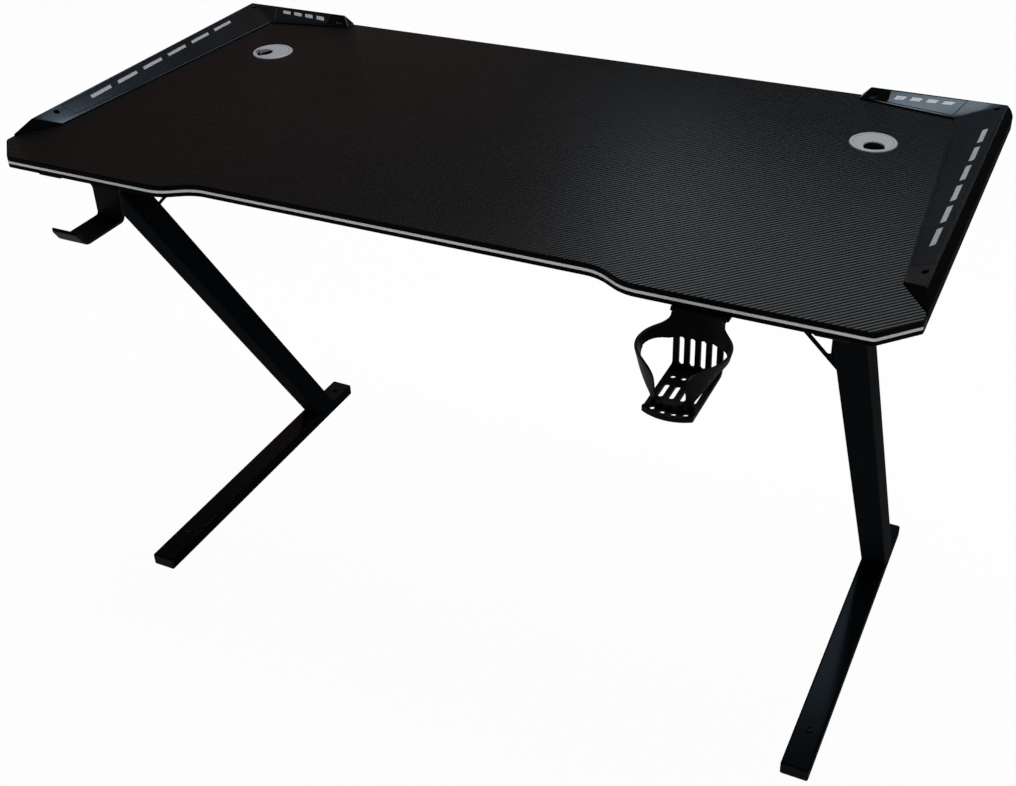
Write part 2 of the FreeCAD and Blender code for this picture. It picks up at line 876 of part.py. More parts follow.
def hoop_front_profile(base, top):
    """The hoop seen from the front: a band, a tongue down to the base and a notch above it."""
    low = top - hoop_band
    side = hoop_r + overrun
    sill = base + hoop_notch_sill
    knee = base + tongue_foot_rise
    return outline(
        [
            (-side, low), (-tongue_half, low), (-tongue_foot_half, knee), (-tongue_foot_half, base),
            (tongue_foot_half, base), (tongue_foot_half, knee), (tongue_half, low), (side, low),
            (side, top), (hoop_notch_half, top), (hoop_notch_half, sill),
            (-hoop_notch_half, sill), (-hoop_notch_half, top), (-side, top),
        ],
        [0, tongue_round, tongue_round, 0, 0, tongue_round, tongue_round, 0, 0]
        + [hoop_notch_round, hoop_notch_foot_round, hoop_notch_foot_round, hoop_notch_round, 0],
        to_front,
    )


def build_cup_holder(nodes):
    """A moulded strip with a slotted back and base, a front lip and a flared hoop."""
    base = underside - cup_drop
    wall_y = -half_depth - cup_wall / 2
    centre_y = -half_depth - hoop_r
    front_r = cup_reach - hoop_r
    path = [
        (wall_y + cup_flange_run, underside - cup_wall / 2),
        (wall_y, underside - cup_wall / 2),
        (wall_y, base),
        (centre_y - front_r, base),
    ]
    strip = ribbon(path, [0, cup_bend / 2, cup_bend, 0], cup_wall, to_side)
    strip = strip.extrude(V(cup_flange_width, 0, 0)).translated(V(-cup_flange_width / 2, 0, 0))
    half = cup_width / 2
    flange = cup_flange_width / 2
    shoulder = underside - cup_wall
    foot = base - cup_wall
    mask = outline(
        [(-half, foot), (half, foot), (half, shoulder), (flange, shoulder), (flange, underside),
         (-flange, underside), (-flange, shoulder), (-half, shoulder)],
        [0, 0, cup_flange_round, 0, 0, 0, 0, cup_flange_round],
        to_front,
    )
    mask = mask.extrude(V(0, depth, 0)).translated(V(0, -depth, 0))
    strip = strip.common(mask)
    front_round = rod(front_r, V(0, centre_y, foot), V(0, 0, cup_drop))
    behind = block(-flange, flange, centre_y, 0, foot, underside)
    strip = strip.common(front_round.fuse(behind))
    lip = front_round.cut(rod(front_r - hoop_wall, V(0, centre_y, foot), V(0, 0, cup_drop)))
    lip = lip.common(block(
        -half, half, -reach_front, centre_y, base - cup_wall / 2, base + cup_lip_height,
    ))
    top = underside - hoop_drop
    slope = (hoop_r - hoop_foot_r) / (top - base)
    low_r = hoop_foot_r - slope * cup_wall / 2
    low = base - cup_wall / 2
    crest = top + hoop_fillet
    cone = revolve_profile([
        (low_r - hoop_wall, low), (low_r, low), (hoop_r, top), (hoop_r, crest),
        (hoop_r - hoop_wall, crest), (hoop_r - hoop_wall, top),
    ]).translated(V(0, centre_y, 0))
    front = hoop_front_profile(low, top).extrude(V(0, -hoop_r * 2, 0)).translated(V(0, centre_y, 0))
    low = top - hoop_band
    behind = outline(
        [(-hoop_r, low), (-half, low - hoop_back_drop), (half, low - hoop_back_drop), (hoop_r, low),
         (hoop_r, top), (half, top), (half, crest + overrun),
         (-half, crest + overrun), (-half, top), (-hoop_r, top)],
        [0, 0, 0, 0, 0, hoop_fillet, 0, 0, hoop_fillet, 0],
        to_front,
    )
    behind = behind.extrude(V(0, hoop_r, 0)).translated(V(0, centre_y, 0))
    hoop = cone.common(front).fuse(cone.common(behind))
    holder = strip.fuse(lip).fuse(hoop)
    for i in range(slot_count):
        x = (i - (slot_count - 1) / 2) * slot_pitch
        z = base + wall_slot_rise + wall_slot_length / 2
        cut = slot(wall_slot_length, to_front, (x, z), V(0, cup_wall * 2, 0))
        holder = holder.cut(cut.translated(V(0, wall_y - cup_wall, 0)))
        middle_y = centre_y - base_slot_lead
        back_y = middle_y + (base_slot_long + base_slot_short) / 2 + base_slot_rib
        ring_r = (hoop_foot_r + front_r - hoop_wall) / 2
        front_y = centre_y - math.sqrt(ring_r ** 2 - x ** 2)
        rows = ((back_y, base_slot_short), (middle_y, base_slot_long), (front_y, base_slot_short))
        for y, length in rows:
            cut = slot(length, to_plan, (x, y), V(0, 0, cup_wall * 2))
            holder = holder.cut(cut.translated(V(0, 0, base - cup_wall)))
    screws = []
    tools = []
    place = V(cup_x, 0, 0)
    for step in (-cup_screw_spacing / 2, cup_screw_spacing / 2):
        seat = V(step, wall_y + cup_screw_run, underside - cup_wall)
        along = V(0, 0, cup_wall + screw_bite)
        screw, tool = fastener(screw_r, screw_head_r, screw_head_thick, screw_gap, seat, along)
        holder = holder.cut(tool)
        screws.append(screw.translated(place))
        tools.append(tool.translated(place))
    nodes["cup_holder"] = holder.removeSplitter().translated(place)
    nodes["cup_holder_screws"] = Part.makeCompound(screws)
    return tools


def build_controller(nodes):
    """The box that feeds the light strips, with its ears, inlet hole and push button."""
    half = control_width / 2
    front = control_y - control_depth / 2
    back = control_y + control_depth / 2
    bottom = underside - control_height
    points = [(-half, front), (half, front), (half, back), (-half, back)]
    case = outline(points, [control_round] * 4, to_plan)
    case = case.translated(V(0, 0, bottom)).extrude(V(0, 0, control_height))
    reach = half + control_ear
    ears = outline(
        [(-reach, control_y - control_ear / 2), (reach, control_y - control_ear / 2),
         (reach, control_y + control_ear / 2), (-reach, control_y + control_ear / 2)],
        [control_round] * 4,
        to_plan,
    )
    ears = ears.translated(V(0, 0, underside - control_ear_thick)).extrude(V(0, 0, control_ear_thick))
    case = case.fuse(ears)
    mid = underside - control_height / 2
    pocket = button_length - button_proud + button_travel + button_seat_gap
    case = case.cut(rod(button_r + button_gap, V(button_offset, front, mid), V(0, pocket, 0)))
    case = case.cut(rod(inlet_r, V(-button_offset, front, mid), V(0, inlet_depth, 0)))
    button = rod(button_r, V(button_offset, front - button_proud, mid), V(0, button_length, 0))
    rim = [e for e in button.Edges if e.BoundBox.YMax < front]
    button = button.makeFillet(button_proud / 2, rim)
    place = V(control_x, 0, 0)
    screws = []
    tools = []
    for step in (-half - control_ear / 2, half + control_ear / 2):
        seat = V(step, control_y, underside - control_ear_thick)
        along = V(0, 0, control_ear_thick + screw_bite)
        screw, tool = fastener(screw_r, screw_head_r, screw_head_thick, screw_gap, seat, along)
        case = case.cut(tool)
        screws.append(screw.translated(place))
        tools.append(tool.translated(place))
    nodes["light_controller"] = case.removeSplitter().translated(place)
    nodes["controller_button"] = button.translated(place)
    nodes["controller_screws"] = Part.makeCompound(screws)
    return tools


def main():
    nodes = {}
    tools = build_wing(nodes)
    tools += build_legs(nodes)
    tools += build_hook(nodes)
    tools += build_cup_holder(nodes)
    tools += build_controller(nodes)
    build_frame(nodes)
    build_top(nodes, tools)
    os.makedirs("parts", exist_ok=True)
    for name in sorted(nodes):
        shape = nodes[name].translated(V(0, shift_y, 0))
        solids = len(shape.Solids)
        print(f"{name}: {solids} solids, valid {shape.isValid()}, {shape.Volume / 1000:.1f} cm3")
        shape.exportStep(f"parts/{name}.step")
    print(f"shift {shift_y:.2f}, {len(nodes)} nodes")


main()
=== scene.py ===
import bmesh
import bpy
import json
import math
from mathutils import Matrix, Vector


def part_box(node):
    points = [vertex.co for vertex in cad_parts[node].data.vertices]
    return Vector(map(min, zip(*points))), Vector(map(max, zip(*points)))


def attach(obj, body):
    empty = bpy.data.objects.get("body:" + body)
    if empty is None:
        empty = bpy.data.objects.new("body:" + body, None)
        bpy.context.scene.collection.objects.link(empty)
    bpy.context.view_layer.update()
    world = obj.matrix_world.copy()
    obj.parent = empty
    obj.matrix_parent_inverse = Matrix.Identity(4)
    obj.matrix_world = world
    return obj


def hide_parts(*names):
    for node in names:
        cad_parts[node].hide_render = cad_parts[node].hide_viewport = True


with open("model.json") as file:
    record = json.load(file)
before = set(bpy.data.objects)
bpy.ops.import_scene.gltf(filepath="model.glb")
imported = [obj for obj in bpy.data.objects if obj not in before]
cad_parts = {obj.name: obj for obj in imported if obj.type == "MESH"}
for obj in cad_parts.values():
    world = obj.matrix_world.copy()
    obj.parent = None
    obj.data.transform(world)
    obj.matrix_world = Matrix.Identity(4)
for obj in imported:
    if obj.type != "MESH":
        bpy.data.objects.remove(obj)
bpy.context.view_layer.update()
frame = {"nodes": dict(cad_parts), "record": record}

nodes = frame["nodes"]
scene = bpy.context.scene
print("frame loaded:", len(nodes), "nodes")


# Shader wiring: a Wire is one socket, and sums on wires add Math nodes

class Wire:
    def __init__(self, finish, socket):
        self.finish = finish
        self.socket = socket

    def sibling(self, name):
        return Wire(self.finish, self.socket.node.outputs[name])

    def sum(self, operation, first, second):
        return self.finish.add("ShaderNodeMath", {"operation": operation}, {0: first, 1: second})

    def sine(self):
        return self.finish.add("ShaderNodeMath", {"operation": "SINE"}, {0: self})

    def __add__(self, other):
        return self.sum("ADD", self, other)

    def __radd__(self, other):
        return self.sum("ADD", other, self)

    def __sub__(self, other):
        return self.sum("SUBTRACT", self, other)

    def __rsub__(self, other):
        return self.sum("SUBTRACT", other, self)

    def __mul__(self, other):
        return self.sum("MULTIPLY", self, other)

    def __rmul__(self, other):
        return self.sum("MULTIPLY", other, self)

    def __truediv__(self, other):
        return self.sum("DIVIDE", self, other)

    def __mod__(self, other):
        return self.sum("FLOORED_MODULO", self, other)

    def __gt__(self, other):
        return self.sum("GREATER_THAN", self, other)


noiseRough = 0.55


class Finish:
    def __init__(self, name):
        self.material = bpy.data.materials.new(name)
        self.material.use_nodes = True
        self.tree = self.material.node_tree
        self.shader = self.tree.nodes["Principled BSDF"]

    def add(self, kind, settings=None, links=None, out=0):
        node = self.tree.nodes.new(kind)
        for key, value in (settings or {}).items():
            setattr(node, key, value)
        for key, value in (links or {}).items():
            self.feed(node.inputs[key], value)
        return Wire(self, node.outputs[out])

    def feed(self, socket, value):
        if isinstance(value, Wire):
            self.tree.links.new(value.socket, socket)
        else:
            socket.default_value = value

    def set(self, **values):
        for key, value in values.items():
            self.feed(self.shader.inputs[key.replace("_", " ")], value)

    def place(self):
        return self.add("ShaderNodeTexCoord", out="Object")

    def facing(self):
        return self.add("ShaderNodeNewGeometry", out="Normal")

    def split(self, vector):
        return self.add("ShaderNodeSeparateXYZ", links={"Vector": vector})

    def noise(self, scale, detail):
        links = {"Vector": self.place(), "Scale": scale, "Detail": detail, "Roughness": noiseRough}
        return self.add("ShaderNodeTexNoise", links=links)

    def blend(self, amount, first, second):
        links = {0: amount, 6: first, 7: second}
        return self.add("ShaderNodeMix", {"data_type": "RGBA"}, links, out=2)

    def bump(self, height, depth):
        return self.add("ShaderNodeBump", links={"Height": height, "Distance": depth, "Strength": 1.0})


# Finishes

filmLook = {
    "tow": 0.00177,
    # dark is the colour of the warp floats; light is painted sheen on the weft floats
    "dark": (0.0006, 0.0005, 0.0005),
    "light": (0.0075, 0.0068, 0.0068),
    "ribEdges": (-0.1, 0.6),
    "crownPaintedShade": 0.3,
    "cloudScale": 6.0,
    "cloudDetail": 2.0,
    "cloudShade": 0.5,
    "rough": 0.2,
    "warpRough": 0.08,
    "cloudRough": 0.04,
    "gloss": 0.085,
    "weftLean": 0.22,
    "weftCrown": 0.05,
    "warpCrown": 0.2,
}


def carbonFilm():
    look = filmLook
    film = Finish("carbonFilm")
    place = film.split(film.place())
    across = place / look["tow"]
    along = place.sibling("Y") / look["tow"]
    acrossTow = (across % 1.0) * 2.0 - 1.0
    alongTow = (along % 1.0) * 2.0 - 1.0
    # two over, two under: the floats line up in ribs that climb to the right, four tows apart
    wave = ((along - across) * (math.pi / 2)).sine()
    low, high = look["ribEdges"]
    weft = film.add("ShaderNodeMapRange", {"interpolation_type": "SMOOTHSTEP"},
                    {"Value": wave, "From Min": low, "From Max": high})
    warp = 1.0 - weft
    crown = warp * (1.0 - acrossTow * acrossTow) + weft * (1.0 - alongTow * alongTow)
    cloud = film.noise(look["cloudScale"], look["cloudDetail"])
    # painted sheen: the weft floats get a lighter base colour than the warp floats, with painted shade
    # towards the edges of each tow, and the cloud varies the tone at random
    shade = (1.0 - look["crownPaintedShade"] + look["crownPaintedShade"] * crown) * weft
    shade = shade * (1.0 - look["cloudShade"] / 2 + look["cloudShade"] * cloud)
    film.set(Base_Color=film.blend(shade, (*look["dark"], 1), (*look["light"], 1)))
    film.set(Roughness=look["rough"] + look["warpRough"] * warp + look["cloudRough"] * cloud)
    film.set(Specular_IOR_Level=look["gloss"])
    # weft floats lean towards the front edge, warp floats are rounded
    sideLean = warp * acrossTow * look["warpCrown"]
    frontLean = weft * (alongTow * -look["weftCrown"] - look["weftLean"])
    lean = film.add("ShaderNodeCombineXYZ", links={"X": sideLean, "Y": frontLean, "Z": 0.0})
    leaning = film.add("ShaderNodeVectorMath", {"operation": "ADD"}, {0: film.facing(), 1: lean})
    film.set(Normal=film.add("ShaderNodeVectorMath", {"operation": "NORMALIZE"}, {0: leaning}))
    return film.material


# "sheen" paints a blue reflection tint into the gloss, "topCoat" is the sheen of upward faces, and "ribs" are
# those of a lens
plasticLooks = {
    # painted sheen: the slight blue in the wing plastic's base colour
    "wingPlastic": {"base": 0.0025, "tint": (1.0, 1.0, 1.15), "rough": 0.27, "gloss": 0.28,
                    "grain": 1400.0, "depth": 0.00001, "sheen": (0.62, 0.82, 1.0)},
    # painted shade: a darker, nearly glossless copy of the wing plastic for faces that turn away
    "skirtPlastic": {"base": 0.002, "tint": (1.0, 1.0, 1.0), "rough": 0.85, "gloss": 0.008,
                     "grain": 900.0, "depth": 0.00004},
    "accessoryPlastic": {"base": 0.0012, "tint": (1.0, 1.0, 1.0), "rough": 0.5, "gloss": 0.03,
                         "grain": 1300.0, "depth": 0.00002},
    "edgePlastic": {"base": 0.001, "tint": (1.0, 1.0, 1.0), "rough": 0.6, "gloss": 0.015,
                    "grain": 1600.0, "depth": 0.00002},
    "capPlastic": {"base": 0.002, "tint": (1.0, 1.0, 1.0), "rough": 0.6, "gloss": 0.03,
                   "grain": 1200.0, "depth": 0.00003},
    # painted reflection: the blue tint in the powder coat's base colour stands in for the bluish sheen on its
    # tops
    "powderCoat": {"base": 0.0022, "tint": (1.0, 1.35, 1.8), "rough": 0.75, "gloss": 0.004,
                   "grain": 800.0, "depth": 0.00004,
                   "topCoat": {"weight": 0.4, "rough": 0.15, "upright": 0.9}},
    "grommetPlastic": {"base": 0.265, "tint": (1.0, 1.0, 1.03), "rough": 0.42, "gloss": 0.4,
                       "grain": 1800.0, "depth": 0.00001},
    "stripeVinyl": {"base": 0.58, "tint": (1.0, 1.0, 1.0), "rough": 0.4, "gloss": 0.4,
                    "grain": 900.0, "depth": 0.00001},
    "frostedWindow": {"base": 0.36, "tint": (1.0, 1.0, 1.04), "rough": 0.3, "gloss": 0.3,
                      "grain": 2200.0, "depth": 0.00001,
                      "ribs": {"pitch": 0.0028, "shade": 0.45, "edge": 0.3}},
    "padRubber": {"base": 0.012, "tint": (1.0, 1.0, 1.0), "rough": 0.8, "gloss": 0.2,
                  "grain": 900.0, "depth": 0.00006},
    "lampStrip": {"base": 0.6, "tint": (1.0, 1.0, 0.97), "rough": 0.5, "gloss": 0.4,
                  "grain": 600.0, "depth": 0.00002},
    "boardBacking": {"base": 0.02, "tint": (1.0, 0.95, 0.85), "rough": 0.7, "gloss": 0.2,
                     "grain": 300.0, "depth": 0.00006},
}
plasticWear = {"grainDetail": 2.0, "cloudScale": 9.0, "cloudDetail": 4.0, "shade": 0.18, "rough": 0.06}


def lensRibs(plastic, ribs, colour, dark):
    # fine slanted ribs, so that they cross the windows of both arms of a wing
    place = plastic.split(plastic.place())
    wave = ((place + place.sibling("Y")) * (2 * math.pi / ribs["pitch"])).sine()
    # painted shade: the grooves between the ribs are darkened in the base colour
    paintedGrooveShade = [part * ribs["shade"] for part in dark]
    return plastic.blend(wave > ribs["edge"], colour, (*paintedGrooveShade, 1))


def grained(name):
    look = plasticLooks[name]
    plastic = Finish(name)
    grain = plastic.noise(look["grain"], plasticWear["grainDetail"])
    cloud = plastic.noise(plasticWear["cloudScale"], plasticWear["cloudDetail"])
    dark = [look["base"] * (1 - plasticWear["shade"]) * part for part in look["tint"]]
    light = [look["base"] * (1 + plasticWear["shade"]) * part for part in look["tint"]]
    colour = plastic.blend(cloud, (*dark, 1), (*light, 1))
    if "ribs" in look:
        colour = lensRibs(plastic, look["ribs"], colour, dark)
    plastic.set(Base_Color=colour, Specular_IOR_Level=look["gloss"])
    plastic.set(Roughness=look["rough"] - plasticWear["rough"] + 2 * plasticWear["rough"] * cloud)
    plastic.set(Normal=plastic.bump(grain, look["depth"]))
    if "sheen" in look:
        # painted reflection: the gloss is tinted with the blue sheen colour
        plastic.set(Specular_Tint=(*look["sheen"], 1))
    if "topCoat" in look:
        coat = look["topCoat"]
        upright = plastic.split(plastic.facing()).sibling("Z") > coat["upright"]
        plastic.set(Coat_Weight=upright * coat["weight"], Coat_Roughness=coat["rough"])
    return plastic.material


steelLooks = {
    "blackScrew": {"base": 0.03, "rough": 0.36},
    "zincBolt": {"base": 0.42, "rough": 0.3},
}
steelWear = {"cloudScale": 500.0, "cloudDetail": 4.0, "darkShare": 0.8, "lightShare": 1.15, "rough": 0.08}


def plated(name):
    look = steelLooks[name]
    steel = Finish(name)
    cloud = steel.noise(steelWear["cloudScale"], steelWear["cloudDetail"])
    dark = [look["base"] * steelWear["darkShare"]] * 3
    light = [look["base"] * steelWear["lightShare"]] * 3
    steel.set(Base_Color=steel.blend(cloud, (*dark, 1), (*light, 1)), Metallic=1.0)
    steel.set(Roughness=look["rough"] - steelWear["rough"] + 2 * steelWear["rough"] * cloud)
    return steel.material


finishes = {"carbonFilm": carbonFilm()}
for look in plasticLooks:
    finishes[look] = grained(look)
for look in steelLooks:
    finishes[look] = plated(look)
print("finishes made:", len(finishes))

slotFinishes = {
    "board": "boardBacking",
    "carbon_film": "carbonFilm",
    "edge_plastic": "edgePlastic",
    "stripe": "stripeVinyl",
    "wing_plastic": "wingPlastic",
    "light_window": "frostedWindow",
    "lamp_strip": "lampStrip",
    "grommet_plastic": "grommetPlastic",
    "frame_steel": "powderCoat",
    "cap_plastic": "capPlastic",
    "pad_rubber": "padRubber",
    "fastener_steel": "zincBolt",
    "accessory_plastic": "accessoryPlastic",
    "button_rubber": "padRubber",
}
nodeSlots = {row["node"]: row["material_slot"] for row in frame["record"]["subparts"]}
nodeBodies = {node: body for body, held in frame["record"]["behaviour"]["bodies"].items() for node in held}


def dress(piece, name):
    piece.data.materials.clear()
    piece.data.materials.append(finishes[name])


for name, piece in nodes.items():
    dress(piece, slotFinishes[nodeSlots[name]])
print("solids dressed:", len(nodes))

# Pieces that take the place of a solid

weldDistance = 0.000001
flatAngle = 0.4
smoothAngle = 35.0


def mergedCopy(node):
    shape = bmesh.new()
    shape.from_mesh(nodes[node].data)
    bmesh.ops.remove_doubles(shape, verts=shape.verts, dist=weldDistance)
    return shape


def pieceName(node):
    words = node.split("_")
    return words[0] + "".join(word.capitalize() for word in words[1:])


def standIn(shape, node, finish):
    name = pieceName(node)
    mesh = bpy.data.meshes.new(name)
    for face in shape.faces:
        face.smooth = True
    shape.to_mesh(mesh)
    shape.free()
    mesh.set_sharp_from_angle(angle=math.radians(smoothAngle))
    piece = bpy.data.objects.new(name, mesh)
    scene.collection.objects.link(piece)
    dress(piece, finish)
    evened = piece.modifiers.new("evenShading", "WEIGHTED_NORMAL")
    evened.keep_sharp = True
    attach(piece, nodeBodies[node])
    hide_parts(node)
    return piece


# Moulded and pressed pieces get their rounded edges here: radius in metres, angle in degrees
edgeRounds = {
    "wing_cover": {"radius": 0.0008, "angle": 14.0, "steps": 3, "sides": True, "twin": True,
                   "skirt": "skirtPlastic"},
    "side_light_plate": {"radius": 0.0003, "angle": 40.0, "steps": 2, "sides": True},
    "back_light_plate": {"radius": 0.0003, "angle": 40.0, "steps": 2, "sides": True},
    "light_windows": {"radius": 0.0004, "angle": 40.0, "steps": 2, "sides": True},
    "brace": {"radius": 0.0006, "angle": 40.0, "steps": 2, "sides": True},
    "grommet_sleeve": {"radius": 0.0004, "angle": 30.0, "steps": 2, "sides": True, "bore": "capPlastic"},
    "grommet_cap": {"radius": 0.0005, "angle": 40.0, "steps": 2, "sides": True},
    "front_edge_moulding": {"radius": 0.0006, "angle": 40.0, "steps": 3, "sides": False},
    "rear_edge_strip": {"radius": 0.0006, "angle": 40.0, "steps": 3, "sides": False},
    "headset_hook": {"radius": 0.0009, "angle": 40.0, "steps": 3, "sides": False},
    "cup_holder": {"radius": 0.0005, "angle": 45.0, "steps": 2, "sides": False, "clamp": True},
    "light_controller": {"radius": 0.0007, "angle": 40.0, "steps": 2, "sides": False},
    "floor_pads": {"radius": 0.0003, "angle": 30.0, "steps": 2, "sides": False},
}
# how far a face's normal must turn for the face to count as one of these
skirtFacing = {"outer": 0.7, "end": 0.5, "nose": 0.1}
wallFacing = 0.5


def shadedSkirt(piece, finish):
    # painted shade: the outer sides, the end facets and the nose facets get a darker, rougher, nearly
    # glossless copy of the wing plastic
    piece.data.materials.append(finishes[finish])
    outward = -1 if piece.data.vertices[0].co.x < 0 else 1
    for face in piece.data.polygons:
        outer = face.normal.x * outward > skirtFacing["outer"]
        end = abs(face.normal.y) > skirtFacing["end"]
        nose = face.normal.y < -skirtFacing["nose"] and face.center.y < 0
        if outer or end or nose:
            face.material_index = 1


def shadedBore(piece, finish, box):
    # painted shade: the walls that face into the bore get the black cap plastic, while the flange stays
    # silver
    piece.data.materials.append(finishes[finish])
    middle = (Vector(box[0]) + Vector(box[1])) / 2
    for face in piece.data.polygons:
        inward = (middle - face.center).to_2d()
        if abs(face.normal.z) < wallFacing and face.normal.to_2d().dot(inward) > 0:
            face.material_index = 1


def roundedEdges(node, look):
    source = node.replace("left_", "right_") if "twin" in look else node
    shape = mergedCopy(source)
    bmesh.ops.dissolve_limit(shape, angle_limit=math.radians(flatAngle), verts=shape.verts, edges=shape.edges)
    sharp = math.radians(look["angle"])
    corners = [edge for edge in shape.edges if edge.is_convex and edge.calc_face_angle(0) > sharp]
    bmesh.ops.bevel(shape, geom=corners, offset=look["radius"], offset_type="OFFSET", affect="EDGES",
                    segments=look["steps"], profile=0.5, material=-1, clamp_overlap=look.get("clamp", False))
    if source != node:  # the left piece is the right one's mirror image
        bmesh.ops.scale(shape, verts=shape.verts, vec=(-1, 1, 1))
        bmesh.ops.reverse_faces(shape, faces=shape.faces)
    piece = standIn(shape, node, slotFinishes[nodeSlots[node]])
    if "skirt" in look:
        shadedSkirt(piece, look["skirt"])
    if "bore" in look:
        shadedBore(piece, look["bore"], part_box(node))


for kind, look in edgeRounds.items():
    for node in ("left_" + kind, "right_" + kind) if look["sides"] else (kind,):
        roundedEdges(node, look)
print("edges rounded:", len(edgeRounds))

# Screws with a cross recess and bolts with a hexagon socket; "head" says which way the head points
screw = {"drive": "cross", "radius": 0.0035, "thick": 0.002, "shank": 0.0018, "finish": "blackScrew"}
bolt = {"drive": "hex", "radius": 0.0052, "thick": 0.003, "shank": 0.003, "finish": "zincBolt"}
fasteners = {
    "wing_screws": {**screw, "head": "up"},
    "hook_screws": {**screw, "head": "down"},
    "cup_holder_screws": {**screw, "head": "down"},
    "controller_screws": {**screw, "head": "down"},
    "beam_bolts": {**bolt, "head": "out"},
    "rail_bolts": {**bolt, "head": "down"},
    "pad_bolts": {**bolt, "head": "up", "finish": "blackScrew"},
}
# the cross is cut from a grid of cells, and its arms are given in cells
crossLook = {"reachShare": 0.62, "taperShare": 0.7, "cells": 7, "armHalfWidth": 0.5, "armHalfLength": 2.5}
hexLook = {"reachShare": 0.52, "cuts": 3}
sinkShare = 0.6
tipShare = 0.7
# the head from its crown to its seat, in shares of its radius and thickness
headShares = [(0.9, 0.97), (0.98, 0.82), (1.0, 0.6), (1.0, 0.0)]


def islands(node):
    shape = mergedCopy(node)
    waiting = set(shape.verts)
    boxes = []
    while waiting:
        front = [waiting.pop()]
        points = []
        while front:
            vert = front.pop()
            points.append(vert.co.copy())
            for edge in vert.link_edges:
                other = edge.other_vert(vert)
                if other in waiting:
                    waiting.remove(other)
                    front.append(other)
        low = Vector(min(point[axis] for point in points) for axis in range(3))
        high = Vector(max(point[axis] for point in points) for axis in range(3))
        boxes.append((low, high))
    shape.free()
    return boxes


def vertsOf(made):
    return [item for item in made["geom"] if isinstance(item, bmesh.types.BMVert)]


def crossRecess(shape, look):
    reach = look["radius"] * crossLook["reachShare"]
    bmesh.ops.create_grid(shape, x_segments=crossLook["cells"], y_segments=crossLook["cells"], size=reach)
    step = reach * 2 / crossLook["cells"]
    arms = []
    for face in shape.faces:
        middle = face.calc_center_median() / step
        near, far = sorted((abs(middle.x), abs(middle.y)))
        if near < crossLook["armHalfWidth"] and far < crossLook["armHalfLength"]:
            arms.append(face)
    rim = [edge for edge in shape.edges if edge.is_boundary]
    sunk = bmesh.ops.extrude_face_region(shape, geom=arms)
    bmesh.ops.delete(shape, geom=arms, context="FACES")
    floor = vertsOf(sunk)
    bmesh.ops.translate(shape, verts=floor, vec=(0, 0, -look["thick"] * sinkShare))
    bmesh.ops.scale(shape, verts=floor, vec=(crossLook["taperShare"], crossLook["taperShare"], 1))
    return rim


def hexSocket(shape, look):
    bmesh.ops.create_circle(shape, cap_ends=False, segments=6, radius=look["radius"] * hexLook["reachShare"])
    rim = list(shape.edges)
    floor = vertsOf(bmesh.ops.extrude_edge_only(shape, edges=rim))
    bmesh.ops.translate(shape, verts=floor, vec=(0, 0, -look["thick"] * sinkShare))
    bmesh.ops.contextual_create(shape, geom=floor)
    bmesh.ops.subdivide_edges(shape, edges=rim, cuts=hexLook["cuts"])
    return [edge for edge in shape.edges if edge.is_boundary]


def fastenerShape(look, length):
    shape = bmesh.new()
    rim = crossRecess(shape, look) if look["drive"] == "cross" else hexSocket(shape, look)
    bmesh.ops.translate(shape, verts=shape.verts, vec=(0, 0, look["thick"]))
    profile = [(look["radius"] * wide, look["thick"] * high) for wide, high in headShares]
    profile.append((look["shank"], 0.0))
    profile.append((look["shank"], look["shank"] - length))
    profile.append((look["shank"] * tipShare, -length))
    radius, height = profile[0]
    crown = bmesh.ops.create_circle(shape, cap_ends=False, segments=len(rim), radius=radius)
    bmesh.ops.translate(shape, verts=crown["verts"], vec=(0, 0, height))
    ring = list({edge for vert in crown["verts"] for edge in vert.link_edges})
    bmesh.ops.bridge_loops(shape, edges=rim + ring)
    for nextRadius, nextHeight in profile[1:]:
        grown = bmesh.ops.extrude_edge_only(shape, edges=ring)
        verts = vertsOf(grown)
        ring = [item for item in grown["geom"] if isinstance(item, bmesh.types.BMEdge) and item.is_boundary]
        bmesh.ops.scale(shape, verts=verts, vec=(nextRadius / radius, nextRadius / radius, 1))
        bmesh.ops.translate(shape, verts=verts, vec=(0, 0, nextHeight - height))
        radius, height = nextRadius, nextHeight
    bmesh.ops.contextual_create(shape, geom=verts)
    bmesh.ops.recalc_face_normals(shape, faces=shape.faces)
    return shape


def headPlace(look, low, high):
    middle = (low + high) / 2
    if look["head"] == "up":
        return Matrix.Translation((middle.x, middle.y, high.z - look["thick"]))
    if look["head"] == "down":
        seat = Matrix.Translation((middle.x, middle.y, low.z + look["thick"]))
        return seat @ Matrix.Rotation(math.pi, 4, "X")
    side = 1 if middle.x > 0 else -1
    reach = high.x - look["thick"] if side > 0 else low.x + look["thick"]
    return Matrix.Translation((reach, middle.y, middle.z)) @ Matrix.Rotation(side * math.pi / 2, 4, "Y")


def fastenerSet(node, look):
    together = bmesh.new()
    for low, high in islands(node):
        single = fastenerShape(look, max(high - low) - look["thick"])
        single.transform(headPlace(look, low, high))
        mesh = bpy.data.meshes.new("single")
        single.to_mesh(mesh)
        single.free()
        together.from_mesh(mesh)
        bpy.data.meshes.remove(mesh)
    standIn(together, node, look["finish"])


for node, look in fasteners.items():
    fastenerSet(node, look)
print("fasteners made:", len(fasteners))

# Stage: a pale floor, soft lamps and the photograph's camera

stageLook = {"reach": 60.0, "sides": 96, "wall": 5.0, "tone": 0.85, "lift": 1.02, "cloudScale": 0.8,
             "cloudDetail": 2.0, "rough": 0.9, "glow": 0.97}
white = (1, 1, 1, 1)


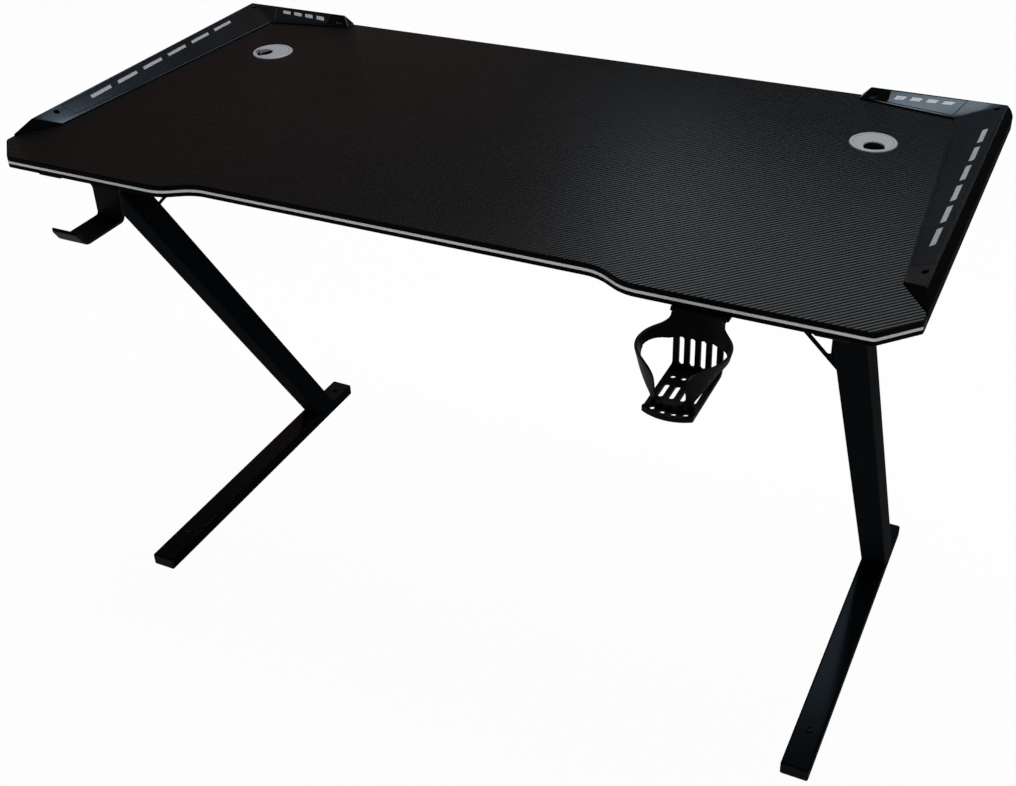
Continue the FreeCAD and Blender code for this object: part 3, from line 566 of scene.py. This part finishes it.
def paleFinish():
    pale = Finish("paleFloor")
    cloud = pale.noise(stageLook["cloudScale"], stageLook["cloudDetail"])
    dark = [stageLook["tone"]] * 3
    light = [stageLook["tone"] * stageLook["lift"]] * 3
    pale.set(Base_Color=pale.blend(cloud, (*dark, 1), (*light, 1)))
    pale.set(Roughness=stageLook["rough"], Specular_IOR_Level=0.0)
    path = pale.add("ShaderNodeLightPath", out="Is Camera Ray")
    seen = path + path.sibling("Is Glossy Ray") + path.sibling("Is Transmission Ray")
    glow = pale.add("ShaderNodeEmission", links={"Color": white, "Strength": 1.0})
    lit = Wire(pale, pale.shader.outputs["BSDF"])
    mixed = pale.add("ShaderNodeMixShader", links={0: seen * stageLook["glow"], 1: lit, 2: glow})
    pale.feed(pale.tree.nodes["Material Output"].inputs["Surface"], mixed)
    return pale.material


def paleFloor():
    shape = bmesh.new()
    bmesh.ops.create_circle(shape, cap_ends=True, segments=stageLook["sides"], radius=stageLook["reach"])
    # a low wall far out keeps level views pale
    wall = bmesh.ops.extrude_edge_only(shape, edges=list(shape.edges))
    bmesh.ops.translate(shape, verts=vertsOf(wall), vec=(0, 0, stageLook["wall"]))
    mesh = bpy.data.meshes.new("floor")
    shape.to_mesh(mesh)
    shape.free()
    floor = bpy.data.objects.new("floor", mesh)
    scene.collection.objects.link(floor)
    mesh.materials.append(paleFinish())


lamps = {
    "skyLamp": {"place": (-0.05, 3.2, 3.1), "aim": (0.5, 0.0, 0.06), "size": (0.6, 0.6), "watts": 1.1,
                "colour": (0.55, 0.78, 1.0)},
    "sideLamp": {"place": (-0.8, 1.85, 3.2), "aim": (-0.57, 0.0, 0.75), "size": (0.6, 0.6), "watts": 3.2,
                 "colour": (0.55, 0.78, 1.0)},
    "overheadLamp": {"place": (0.17, 0.8, 3.2), "aim": (0.1, 0.0, 0.74), "size": (2.0, 2.0), "watts": 88.0,
                     "colour": (0.9, 0.96, 1.0)},
    "frontLamp": {"place": (0.9, -4.0, 2.4), "aim": (0.0, 0.0, 0.5), "size": (3.0, 2.0), "watts": 60.0,
                  "colour": (1.0, 1.0, 1.0)},
    "warmLamp": {"place": (-3.15, 3.1, 1.9), "aim": (0.0, 0.0, 0.74), "size": (3.2, 1.8), "watts": 2.6,
                 "colour": (1.0, 0.42, 0.24)},
}
roomLook = {"colour": (0.9, 0.95, 1.0), "strength": 0.06}


def softLamps():
    for name, look in lamps.items():
        light = bpy.data.lights.new(name, "AREA")
        light.shape = "RECTANGLE"
        light.size, light.size_y = look["size"]
        light.energy = look["watts"]
        light.color = look["colour"]
        lamp = bpy.data.objects.new(name, light)
        lamp.location = look["place"]
        aim = Vector(look["aim"]) - Vector(look["place"])
        lamp.rotation_euler = aim.to_track_quat("-Z", "Y").to_euler()
        scene.collection.objects.link(lamp)


def dimRoom():
    world = bpy.data.worlds.new("dimRoom")
    scene.world = world
    world.use_nodes = True
    backdrop = world.node_tree.nodes["Background"]
    backdrop.inputs["Color"].default_value = (*roomLook["colour"], 1)
    backdrop.inputs["Strength"].default_value = roomLook["strength"]


# The camera as solved from the photograph: metres, radians and the photograph's pixels
photoView = {
    "place": (0.7586, -1.4226, 1.4583),
    "turn": 0.4663,
    "tilt": 0.5526,
    "roll": -0.0365,
    "focalPixels": 1371.27,
    "centrePixels": (518.71, 329.99),
    "framePixels": (1016, 786),
}


def photoCamera():
    wide, high = photoView["framePixels"]
    centreX, centreY = photoView["centrePixels"]
    lens = bpy.data.cameras.new("photoCamera")
    lens.sensor_fit = "HORIZONTAL"
    lens.lens = photoView["focalPixels"] / wide * lens.sensor_width
    lens.shift_x = (wide / 2 - centreX) / wide
    lens.shift_y = (centreY - high / 2) / wide
    camera = bpy.data.objects.new("photoCamera", lens)
    turn = Matrix.Rotation(photoView["turn"], 4, "Z")
    tilt = Matrix.Rotation(math.pi / 2 - photoView["tilt"], 4, "X")
    roll = Matrix.Rotation(photoView["roll"], 4, "Z")
    camera.matrix_world = Matrix.Translation(photoView["place"]) @ turn @ tilt @ roll
    scene.collection.objects.link(camera)
    scene.camera = camera


paleFloor()
softLamps()
dimRoom()
photoCamera()
scene.view_settings.view_transform = "Standard"
print("stage set")
